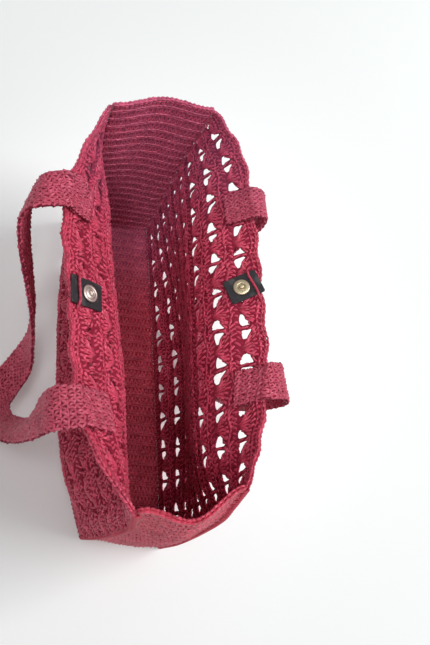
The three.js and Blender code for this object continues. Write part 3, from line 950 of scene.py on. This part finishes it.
def shade_group() -> Tree:
    """Uneven dye, a drift between two shades by place and by strand, with painted shade in the
    plies' grooves and a painted cooler light cast at the far end.
    """
    group, n, given, result = new_group(
        "dye_drift",
        {
            "Light": ("NodeSocketColor", (1, 1, 1, 1)),
            "Dark": ("NodeSocketColor", (0, 0, 0, 1)),
            "Far": ("NodeSocketColor", (1, 1, 1, 1)),
            "Scale": ("NodeSocketFloat", 60.0),
            "Twist": ("NodeSocketFloat", 0.5),
        },
        {"Color": "NodeSocketColor", "Share": "NodeSocketFloat"},
    )
    place = n.place()
    drift = n.maths("MULTIPLY", n.noise(place, given["Scale"], 4.0), 0.75)
    # The twist's height lightens the plies' crests and darkens their grooves: painted shade
    for value, weight in ((n.attribute("tone", "Fac"), 0.62), (given["Twist"], 0.22)):
        drift = n.maths("ADD", drift, n.maths("MULTIPLY", value, weight))
    share = n.add("ShaderNodeClamp", {"Value": n.maths("SUBTRACT", drift, 0.24)}).outputs[0]
    colour = n.mix(share, given["Dark"], given["Light"])
    # Painted light: a cooler cast mixed in towards the far end
    far = n.smooth(n.part(place)["Y"], 0.06, 0.22)
    n.feed(result["Color"], n.mix(far, colour, given["Far"], "ADD"))
    n.feed(result["Share"], share)
    return group


def fibre_group() -> Tree:
    """Fine fibres and fluff as a height, at the scale of a thread."""
    group, n, given, result = new_group(
        "fibre_height",
        {"Scale": ("NodeSocketFloat", 900.0), "Coarse": ("NodeSocketFloat", 240.0)},
        {"Height": "NodeSocketFloat"},
    )
    place = n.place()
    heights = (n.noise(place, given[label], 3.0) for label in ("Scale", "Coarse"))
    n.feed(result["Height"], n.maths("ADD", *heights))
    return group


def wear_group() -> Tree:
    """Patches of rub and dirt as a mask with soft edges, and a fine grain as a height."""
    group, n, given, result = new_group(
        "rubbed_patches",
        {"Scale": ("NodeSocketFloat", 120.0), "Amount": ("NodeSocketFloat", 0.5)},
        {"Mask": "NodeSocketFloat", "Height": "NodeSocketFloat"},
    )
    place = n.place()
    patches = n.smooth(n.noise(place, given["Scale"], 5.0), 0.5, 0.75)
    n.feed(result["Mask"], n.maths("MULTIPLY", patches, given["Amount"]))
    grain = n.add("ShaderNodeTexVoronoi", {"Vector": place, "Scale": 1400.0}, feature="F1")
    n.feed(result["Height"], grain.outputs["Distance"])
    return group


@dataclass
class Finishes:
    """Builds each shared node group once and the materials from them."""

    twist: Tree = field(default_factory=twist_group)
    shade: Tree = field(default_factory=shade_group)
    fibre: Tree = field(default_factory=fibre_group)
    wear: Tree = field(default_factory=wear_group)

    def start(self, name: str) -> tuple[Material, Nodes, Sockets]:
        """Starts a material, and gives it with its Nodes and its Principled shader's inputs."""
        material = bpy.data.materials.new(name)
        material.use_nodes = True
        tree = material.node_tree
        return material, Nodes(tree), tree.nodes["Principled BSDF"].inputs

    def group(self, n: Nodes, tree: Tree, **values: object) -> bpy.types.Node:
        """Places a shared group with its own values."""
        return n.add("ShaderNodeGroup", values, node_tree=tree)

    def ground(self, finish: YarnFinish) -> Material:
        """The ground of yarn that shows between the strands, dimmed as painted shade."""
        return self.yarn(finish, True)

    def yarn(self, finish: YarnFinish, ground: bool = False) -> Material:
        """Yarn on a strand, or its ground."""
        material, n, shader = self.start(finish.name + ("_ground" if ground else ""))
        # The ground's colour is dimmed as painted shade between the strands
        painted_shade_dim = finish.ground if ground else 1.0
        light, dark = ((*(c * painted_shade_dim for c in shade), 1.0) for shade in (finish.light, finish.dark))
        far = (*finish.far, 1.0)
        shade = self.group(n, self.shade, Light=light, Dark=dark, Far=far, Scale=70.0)
        last = n.bump(self.group(n, self.fibre).outputs["Height"], 0.5, 0.0005)
        feeds = {"Roughness": 0.9, "Specular IOR Level": 0.08}
        if not ground:
            height = self.group(n, self.twist).outputs["Height"]
            # The twist's height also feeds the colour, as painted shade in the plies' grooves
            n.feed(shade.inputs["Twist"], height)
            ply = n.bump(height, finish.twist, 0.0006)
            n.feed(ply.inputs["Normal"], last.outputs["Normal"])
            last = ply
            share = shade.outputs["Share"]
            feeds = {
                "Roughness": n.maths("MULTIPLY_ADD", share, -0.12, finish.roughness + 0.06),
                "Specular IOR Level": 0.55,
                "Sheen Weight": 0.1,
                "Sheen Roughness": 0.4,
                "Sheen Tint": (1.0, 0.6, 0.7, 1.0),
            }
        feeds |= {"Base Color": shade.outputs["Color"], "Normal": last.outputs["Normal"]}
        for label, value in feeds.items():
            n.feed(shader[label], value)
        return material

    def smooth(self, finish: SmoothFinish) -> Material:
        """Leather-like sheet or polished metal."""
        material, n, shader = self.start(finish.name)
        wear = self.group(n, self.wear, Scale=finish.scale, Amount=finish.amount).outputs
        colour = n.mix(wear["Mask"], (*finish.colour, 1.0), (*finish.worn, 1.0))
        n.feed(shader["Base Color"], colour)
        n.feed(shader["Roughness"], n.maths("MULTIPLY_ADD", wear["Mask"], *finish.rough))
        n.feed(shader["Metallic"], finish.metallic)
        if finish.grain:
            grain = n.bump(wear["Height"], finish.grain, 0.0003)
            n.feed(shader["Normal"], grain.outputs["Normal"])
        return material


# The bag's pieces


def dress(
    pieces: list, node: str, size: tuple
) -> None:
    """Hides the solid that a cloth's ground and stitches replace, and logs its size and its pieces
    of stitches.

    Args:
        pieces: The stitches that go with it.
        node: The solid that the ground replaces.
        size: The sheet's flat size in millimetres.
    """
    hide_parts(node)
    LOG.info("%s: %.0f x %.0f mm, %d pieces of stitches", node, *size, len(pieces))


@dataclass
class LaceWall:
    """One lace wall: a thin ground of yarn with the gaps cut out, and the stitches on it."""

    side: Side
    cloth: Cloth

    def gap_edges(self, across: Array, from_bar: Array, row: int) -> tuple[Array, Array]:
        """The lower and upper edge of a row's gaps, from the row's middle.

        Args:
            across: Places along the row.
            from_bar: Each place's distance from the nearest bar.
            row: The lace row's number, from the foot.

        Returns:
            The lower and upper edges at the places. The left wall's folds narrow most of its gaps.
        """
        low = np.interp(from_bar, GAP_STATIONS, GAP_LOW)
        high = np.interp(from_bar, GAP_STATIONS, GAP_HIGH)
        own = np.floor(across / (REPEAT / 2) + 0.01)
        # Each half repeat's gap has a height of its own
        width = 1.06 + 0.16 * np.sin(own * 2.3 + row * 4.1)
        if self.side is Side.LEFT:
            is_open = across > OPEN_FROM * PANEL_LENGTH
            width = width * np.where(is_open, OPEN_WIDTH, CLOSED_WIDTH)
        middle = (low + high) / 2
        return middle + (low - middle) * width, middle + (high - middle) * width

    def lines(self, across: Array, from_bar: Array) -> tuple[list, list]:
        """The ground's lines from the foot to the rim, and what lies between each and the next.

        Args:
            across: The places of each line's points along the wall.
            from_bar: Each place's distance from the nearest bar.

        Returns:
            The lines' heights at the places, and one word for each stretch: solid, gap or small.
        """
        low = self.gap_edges(across, from_bar, 0)[0]
        lines = [np.zeros(len(across)), *((FIRST_ROW + low) * share for share in (0.35, 0.7))]
        kinds = ["solid"] * 2
        for row in range(LACE_ROWS):
            middle = FIRST_ROW + row * ROW_PITCH
            lines += [middle + edge for edge in self.gap_edges(across, from_bar, row)]
            kinds += ["solid", "gap"]
            if row < LACE_ROWS - 1:
                lines += [np.full(len(across), middle + y) for y, _ in GROUND_LINES]
                kinds += [kind for _, kind in GROUND_LINES]
        top = lines[-1]
        lines += [top + (rim_line(across) - top) * share for share in (0.5, 1.0)]
        return lines, kinds + ["solid"] * 2

    def ground(self) -> tuple[Array, Array]:
        """The flat places and quads of the ground, with its gaps left out."""
        spots = []
        for k in range(REPEATS):
            spots += [(k * REPEAT + x, x, 1) for x in WALL_STEPS]
            back = (REPEAT / 2, *reversed(WALL_STEPS[1:]))
            spots += [((k + 1) * REPEAT - x, x, -1) for x in back]
        spots.append((PANEL_LENGTH, 0.0, -1))
        across, from_bar, way = np.array(spots).T
        lines, kinds = self.lines(across, from_bar)
        inner = np.minimum(from_bar[:-1], from_bar[1:])
        outer = np.maximum(from_bar[:-1], from_bar[1:])
        small = (inner >= SMALL_CUT[0]) & (outer <= SMALL_CUT[1]) & (way[:-1] > 0)
        is_open = {
            "solid": np.zeros(len(inner), bool),
            "gap": (inner >= GAP_CUT[0]) & (outer <= GAP_CUT[1]),
            "small": small & (self.side is Side.RIGHT),
        }
        flat = np.stack([np.tile(across, len(lines)), np.concatenate(lines)], axis=1)
        closed = ~np.concatenate([is_open[kind] for kind in kinds])
        return uneven(flat), grid_quads(len(lines), len(across))[closed]

    def stitches(self) -> Yarn:
        """Lays the fans, bars, chains and plain rows."""
        yarn = Yarn(self.cloth, WALL_SEEDS[self.side], sways=True)
        centre = self.spots(np.arange(REPEATS) + 0.5)
        for top_x in FAN_TOPS:
            top_y = 10.2 - 0.008 * top_x**2
            posts(yarn, centre + [top_x * 0.2, -5.6 + 0.2 * abs(top_x)], centre + [top_x, top_y])
            ends = (centre + [top_x + reach, top_y + 1.4] for reach in (-2.6, 2.6))
            self.loops(yarn, *ends)
        bar = self.spots(np.arange(REPEATS + 1))
        bar[:, 0] = np.clip(bar[:, 0], 1.2, PANEL_LENGTH - 1.2)
        posts(yarn, bar + [0, -7.2], bar + [0, 7.6], 1.0, 1.15)
        self.rows(yarn)
        self.filling(yarn)
        return yarn

    def spots(self, repeats: Array) -> Array:
        """The places at some repeats' numbers in each lace row, as (across, along)."""
        k, i = (g.ravel() for g in np.meshgrid(repeats, np.arange(LACE_ROWS)))
        return np.stack([k * REPEAT, FIRST_ROW + i * ROW_PITCH], axis=1)

    def loops(self, yarn: Yarn, start: Array, end: Array) -> None:
        """Lays one chain loop between each pair of places, on the middle of the cloth."""
        for turn in (-1, 1):
            middle = (start + end) / 2 + [0, 1.3 * turn]
            past = end + [0.6, 0.3 * turn]
            stations = ((start, -0.3), (middle, 1.1), (past, 0.2))
            yarn.lay(strands(*((*place.T, h * turn) for place, h in stations)), YARN * 1.05)

    def rows(self, yarn: Yarn) -> None:
        """Lays the plain rows between the fans, the foot rows and the chain at the rim."""
        line = np.arange(*STITCH_LINE)
        from_bar = np.mod(line, REPEAT)
        beside_small = (from_bar < 3.6) | (from_bar > 9.6)
        for row in range(LACE_ROWS):
            last = row == LACE_ROWS - 1
            for n, y in enumerate(LAST_ROW if last else PLAIN_ROWS):
                kept = line if last or n else line[beside_small]
                middle = FIRST_ROW + row * ROW_PITCH
                self.vees(yarn, kept, middle + y, 1 if (row + n) % 2 else -1)
        for y in FOOT_ROWS:
            self.vees(yarn, line, y, 1)
        for height in (-0.9, 0.9):
            chain(yarn, np.stack([line, rim_line(line)], axis=1), height, 1.3)

    def vees(self, yarn: Yarn, line: Array, y: float, face: int) -> None:
        """Lays one row of short v stitches whose middle is at y."""
        for turn in (-1, 1):
            legs = strands(
                (line + 0.3 * turn, y - 2.3, 0.2 * face),
                (line + 1.6 * turn, y, 0.7 * face * turn),
                (line + 2.4 * turn, y + 2.2, 0.1 * face),
            )
            yarn.lay(legs, 1.35, capped=False)

    def filling(self, yarn: Yarn) -> None:
        """Lays short loops every way beside the gaps, and over those that the folds close."""
        random = np.random.default_rng(FILLING_SEED)
        left = self.side is Side.LEFT
        both = np.array((-1, 1))
        ranges = (np.arange(REPEATS), np.arange(LACE_ROWS), both, both, np.arange(5 if left else 3))
        k, i, turn, face = (g.ravel() for g in np.meshgrid(*ranges)[:4])
        from_bar = random.uniform(2.0, 13.0, len(k))
        a = (k + (turn < 0)) * REPEAT + turn * from_bar
        closed = (a < OPEN_FROM * PANEL_LENGTH) & left
        above = np.interp(from_bar, GAP_STATIONS, GAP_HIGH) + random.uniform(1.0, 3.6, len(k))
        rise = np.where(closed, random.uniform(-5.5, 7.5, len(k)), above)
        b = FIRST_ROW + i * ROW_PITCH + rise
        angle = random.uniform(-0.9, 0.9, len(k)) * np.where(closed, 1.3, 0.8)
        reach = random.uniform(2.0, 3.1, len(k))
        loop = (
            (a + way * np.sin(angle) * reach, b + way * np.cos(angle) * reach, face * height)
            for way, height in ((-1, 0.3), (0, 1.35), (1, 0.3))
        )
        yarn.lay(strands(*loop), YARN)

    def build(self, finishes: Finishes) -> None:
        """Makes the wall's ground and its stitches."""
        node = f"wall_{self.side.word}"
        sheet = thick_sheet(self.cloth, *self.ground())
        ground = new_piece(f"{node}_ground", *sheet, finishes.ground(BRIGHT_YARN))
        lace = self.stitches().build(f"{node}_stitches", finishes.yarn(BRIGHT_YARN))
        size = (PANEL_HEIGHT, PANEL_LENGTH)
        dress([lace], node, size)


@dataclass
class PlainStrip:
    """The strip of single crochet that is the base and both ends."""

    cloth: Cloth

    def build(self, finishes: Finishes) -> None:
        """Makes the strip's ground and its stitches in three fields."""
        width, length = self.cloth.width, self.cloth.length
        sheet = whole_sheet(self.cloth)
        ground = new_piece("strip_ground", *sheet, finishes.ground(STRIP_YARN))
        finish = finishes.yarn(STRIP_YARN)
        end = (length - PANEL_LENGTH) / 2 - 2
        fields = (
            ("strip_near_stitches", 0.6, end, 0),
            ("strip_base_stitches", end, length - end, 1),
            ("strip_far_stitches", length - end, length - 0.6, 0),
        )
        pieces = []
        for number, (name, low, high, first) in enumerate(fields):
            yarn = Yarn(self.cloth, STRIP_SEED + number * SEED_STEP)
            single_crochet(yarn, (0.8, low), (width - 0.8, high), first)
            for edge in (1.0, length - 1.0):
                if low <= edge <= high:
                    line = np.arange(2.0, width, STRIP_STITCH[0])
                    line = np.stack([line, np.full(len(line), edge)], axis=1)
                    for height in (-1.0, 1.0):
                        chain(yarn, line, height, 1.4)
            pieces.append(yarn.build(name, finish))
        dress(pieces, "strip", (width, length))


@dataclass
class Strap:
    """One strap of close single crochet."""

    side: Side
    cloth: Cloth

    def build(self, finishes: Finishes) -> None:
        """Makes the strap's ground and stitches."""
        node = f"handle_{self.side.word}"
        size = (self.cloth.width, self.cloth.length)
        sheet = whole_sheet(self.cloth)
        ground = new_piece(f"{node}_ground", *sheet, finishes.ground(STRAP_YARN))
        yarn = Yarn(self.cloth, STRAP_SEEDS[self.side])
        close_rows(yarn, size)
        stitches = yarn.build(f"{node}_stitches", finishes.yarn(STRAP_YARN))
        dress([stitches], node, size)


@dataclass
class TabAndSnap:
    """A tab near the rim with its half of the snap, and the strand of yarn that holds it."""

    side: Side
    wall: Cloth
    width: float = 26.0
    length: float = 35.0
    thick: float = 1.8
    corner: float = 1.8
    around: int = 48
    snap_at: tuple = (0.0, -2.5, 0.3)
    strand_from_rim: float = 8.0
    strand_radius: float = 1.25

    def matrix(self) -> Matrix:
        """The tab's place, from its underside's middle: x across, y to the rim, z into the bag."""
        t, from_rim, turn = TAB_AT[self.side]
        place = np.array([t * PANEL_LENGTH, PANEL_HEIGHT - from_rim, 0.0])
        across, along, out = self.wall.axes(place)
        origin = self.wall.at(place)
        rise = 0.0
        for i in np.linspace(-1, 1, 7):
            for j in np.linspace(-1, 1, 7):
                v = min(place[1] + j * self.length / 2, PANEL_HEIGHT)
                spot = self.wall.at(np.array([place[0] + i * self.length / 2, v, CLOTH / 2]))
                rise = max(rise, float((spot - origin) @ out))
        found = Matrix((across, along, out)).transposed().to_4x4()
        found.translation = Vector(origin + out * (rise + 0.4))
        return found @ Matrix.Rotation(math.radians(turn), 4, "Z")

    def plate(self) -> tuple[list, list]:
        """A plate with rounded corners and softened edges."""
        outline = []
        corner = self.corner
        for cx, cy, start in ((1, 1, 0), (-1, 1, 90), (-1, -1, 180), (1, -1, 270)):
            for step in range(5):
                angle = math.radians(start + step * 22.5)
                x = cx * (self.width / 2 - corner) + corner * math.cos(angle)
                y = cy * (self.length / 2 - corner) + corner * math.sin(angle)
                outline.append((x, y))
        top = self.thick
        layers = ((0.35, 0.0), (0.0, 0.35), (0.0, top - 0.45), (0.12, top - 0.15), (0.5, top))
        count = len(outline)
        verts = []
        for inset, z in layers:
            scale_x, scale_y = 1 - inset / (self.width / 2), 1 - inset / (self.length / 2)
            verts += [(x * scale_x, y * scale_y, z) for x, y in outline]
        faces = ring_faces(len(layers), count, 0)
        faces.append(tuple(reversed(range(count))))
        faces.append(tuple(range((len(layers) - 1) * count, len(layers) * count)))
        return verts, faces

    def snap(self) -> tuple[list, list]:
        """This side's half of the snap as a turned form."""
        profile = SNAP_PROFILES[self.side]
        around = self.around
        turns = [2 * math.pi * k / around for k in range(around)]
        rings = profile[1:-1]
        verts = [(0.0, 0.0, profile[0][1])]
        verts += [(r * math.cos(t), r * math.sin(t), h) for r, h in rings for t in turns]
        verts.append((0.0, 0.0, profile[-1][1]))
        last = 1 + (len(rings) - 1) * around
        faces = ring_faces(len(rings), around, 1)
        for k in range(around):
            nxt = (k + 1) % around
            faces += [(0, 1 + nxt, 1 + k), (last + k, last + nxt, len(verts) - 1)]
        return verts, faces

    def build(self, finishes: Finishes) -> None:
        """Makes the tab, its half of the snap and the strand over it."""
        place = self.matrix()
        lift = Matrix.Translation(Vector(self.snap_at) + Vector((0, 0, self.thick)))
        word, brass = self.side.word, finishes.smooth(BRASSES[self.side])
        parts = (
            ("tab", "sheet", place, self.plate(), finishes.smooth(BLACK_SHEET), "tab_leather"),
            ("snap", "metal", place @ lift, self.snap(), brass, "snap_brass"),
        )
        made = []
        for kind, stuff, matrix, (verts, faces), finish, slot in parts:
            points = [matrix @ Vector(v) for v in verts]
            piece = new_piece(f"{kind}_{word}_{stuff}", points, faces, finish)
            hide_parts(f"{kind}_{word}")
            made.append(piece)
        tab, snap = made
        for polygon in tab.data.polygons:
            polygon.use_smooth = len(polygon.vertices) == 4
        self.strand(place, finishes)
        LOG.info("tab and snap: %s", word)

    def strand(self, place: Matrix, finishes: Finishes) -> None:
        """Makes the strand of yarn that crosses the tab near the rim."""
        y, half = self.length / 2 - self.strand_from_rim, self.width / 2
        top = self.thick + self.strand_radius
        line = [(-half - 5.5, y - 1, -2.6), (-half - 2.4, y, 0.6), (-half + 1, y + 0.3, top)]
        crossing = np.linspace(-half + 4, half - 4, 7)
        line += [(x, y + 0.4 * math.sin(x / 5), self.thick + 1.3) for x in crossing]
        line += [(half - 1, y + 0.2, top), (half + 2.4, y, 0.6), (half + 5.5, y + 1, -2.6)]
        points = np.array([list(place @ Vector(p)) for p in line])
        smooth = evenly(centripetal(points, 8), 48)[None]
        out = np.array(place.to_3x3() @ Vector((0, 0, 1)))
        size = np.full(smooth.shape[:2], self.strand_radius)
        tube = tubes(smooth, np.broadcast_to(out, smooth.shape), size, 8)
        name = f"tab_{self.side.word}_strand"
        strand_piece(name, tube, finishes.yarn(BRIGHT_YARN))


@dataclass
class Seam:
    """The whipped seam between a wall and the strip: one strand wound round both edges."""

    side: Side
    wall: Cloth
    pitch: float = 5.0
    reach: float = 2.5
    radius: float = 1.05
    samples: int = 1870

    def line(self) -> Array:
        """The seam's path: down the near end, along the base and up the far end."""
        near = [(0.0, v, 0.0) for v in np.linspace(PANEL_HEIGHT - 1, 4, 60)]
        base = [(u, 2.5, 0.0) for u in np.linspace(4, PANEL_LENGTH - 4, 100)]
        far = [(PANEL_LENGTH, v, 0.0) for v in np.linspace(4, PANEL_HEIGHT - 1, 60)]
        points = self.wall.at(np.array(near + base + far))
        points[:, 0] -= self.side.value * CLOTH / 2
        return evenly(points, self.samples)

    def build(self, finishes: Finishes) -> None:
        """Winds the strand along the seam."""
        line = self.line()
        tangent = unit(np.gradient(line, axis=0))
        out = np.broadcast_to([float(self.side.value), 0.0, 0.0], line.shape)
        out = unit(square(out, tangent))
        beside = np.cross(tangent, out)
        angle = 2 * np.pi * travelled(line) / self.pitch
        cos, sin = np.cos(angle)[:, None], np.sin(angle)[:, None]
        wound = line + self.reach * (out * cos * 1.1 + beside * sin * 0.75)
        size = np.full((1, len(line)), self.radius)
        tube = tubes(wound[None], (line - wound)[None], size, 5)
        name = f"seam_{self.side.word}"
        strand_piece(name, tube, finishes.yarn(STRIP_YARN))
        LOG.info("seam: %s", self.side.word)


@dataclass(frozen=True)
class Studio:
    """The floor, the soft light and the camera. The lights' powers are in watts."""

    floor_colour: Triple = (0.95, 0.98, 0.975)
    floor_size: float = 6.0
    world: float = 0.48
    key: float = 108.0
    inner: float = 40.0
    far_fill: float = 34.0
    focal_px: float = 490.0
    photo_px: float = 645.0
    sensor: float = 36.0
    right: Triple = (0.9298, -0.0846, 0.3572)
    up: Triple = (-0.0562, 0.9288, 0.3686)
    eye: Triple = (-0.108, -0.184, 0.607)

    def camera(self) -> None:
        """Sets the camera at the photograph's angle."""
        data = bpy.data.cameras.new("camera")
        data.sensor_fit = "AUTO"
        data.sensor_width = self.sensor
        data.lens = self.focal_px / self.photo_px * self.sensor
        data.clip_start = 0.01
        data.clip_end = 100.0
        camera = link_new("camera", data)
        right, up = Vector(self.right), Vector(self.up)
        back = right.cross(up).normalized()
        up = back.cross(right).normalized()
        right = up.cross(back).normalized()
        matrix = Matrix((right, up, back)).transposed().to_4x4()
        matrix.translation = Vector(self.eye)
        camera.matrix_world = matrix
        bpy.context.scene.camera = camera

    def floor(self) -> None:
        """Lays a plain pale floor."""
        mesh = bpy.data.meshes.new("floor")
        s = self.floor_size
        mesh.from_pydata([(-s, -s, 0), (s, -s, 0), (s, s, 0), (-s, s, 0)], [], [(0, 1, 2, 3)])
        floor = link_new("floor", mesh)
        material = bpy.data.materials.new("floor")
        material.use_nodes = True
        shader = material.node_tree.nodes["Principled BSDF"]
        shader.inputs["Base Color"].default_value = (*self.floor_colour, 1.0)
        shader.inputs["Roughness"].default_value = 0.9
        mesh.materials.append(material)

    def light(
        self, name: str, kind: str, place: tuple, aim: tuple, power: float, **settings: float
    ) -> None:
        """Hangs one soft light with its own settings, aimed at a place."""
        data = bpy.data.lights.new(name, kind)
        for key, value in {"energy": power, **settings}.items():
            setattr(data, key, value)
        light = link_new(name, data)
        light.location = place
        light.rotation_mode = "QUATERNION"
        light.rotation_quaternion = (Vector(aim) - Vector(place)).to_track_quat("-Z", "Y")

    def build(self) -> None:
        """Makes the whole studio: one large light, and two narrow ones for the bag's inside."""
        self.camera()
        self.floor()
        world = bpy.data.worlds.new("studio")
        world.use_nodes = True
        background = world.node_tree.nodes["Background"]
        background.inputs["Color"].default_value = (1.0, 1.0, 1.0, 1.0)
        background.inputs["Strength"].default_value = self.world
        bpy.context.scene.world = world
        narrow = {"shadow_soft_size": 0.25, "spot_size": math.radians(18), "spot_blend": 0.8}
        self.light("key", "AREA", (2.6, 0.0, 3.3), (0.0, 0.0, 0.1), self.key, size=2.2)
        spots = (
            ("inner", (-0.12, -0.1, 1.7), (0.09, 0.02, 0.12), self.inner),
            ("far_fill", (-0.35, -0.6, 1.2), (0.07, 0.1, 0.15), self.far_fill),
        )
        for name, place, aim, power in spots:
            self.light(name, "SPOT", place, aim, power, **narrow)
        settings = bpy.context.scene.view_settings
        settings.view_transform = "Standard"
        settings.look = "None"
        settings.exposure = 0.0
        LOG.info("studio")


def main() -> None:
    """Builds the studio and the bag's pieces."""
    logging.basicConfig(level=logging.INFO, format="%(name)s: %(message)s", stream=sys.stdout)
    Studio().build()
    finishes = Finishes()
    walls = {side: wall_cloth(side) for side in Side}
    PlainStrip(strip_cloth(walls[Side.LEFT], walls[Side.RIGHT])).build(finishes)
    for side, wall in walls.items():
        LaceWall(side, wall).build(finishes)
        Strap(side, strap_cloth(side, wall)).build(finishes)
        TabAndSnap(side, wall).build(finishes)
        Seam(side, wall).build(finishes)


if __name__ == "__main__":
    main()
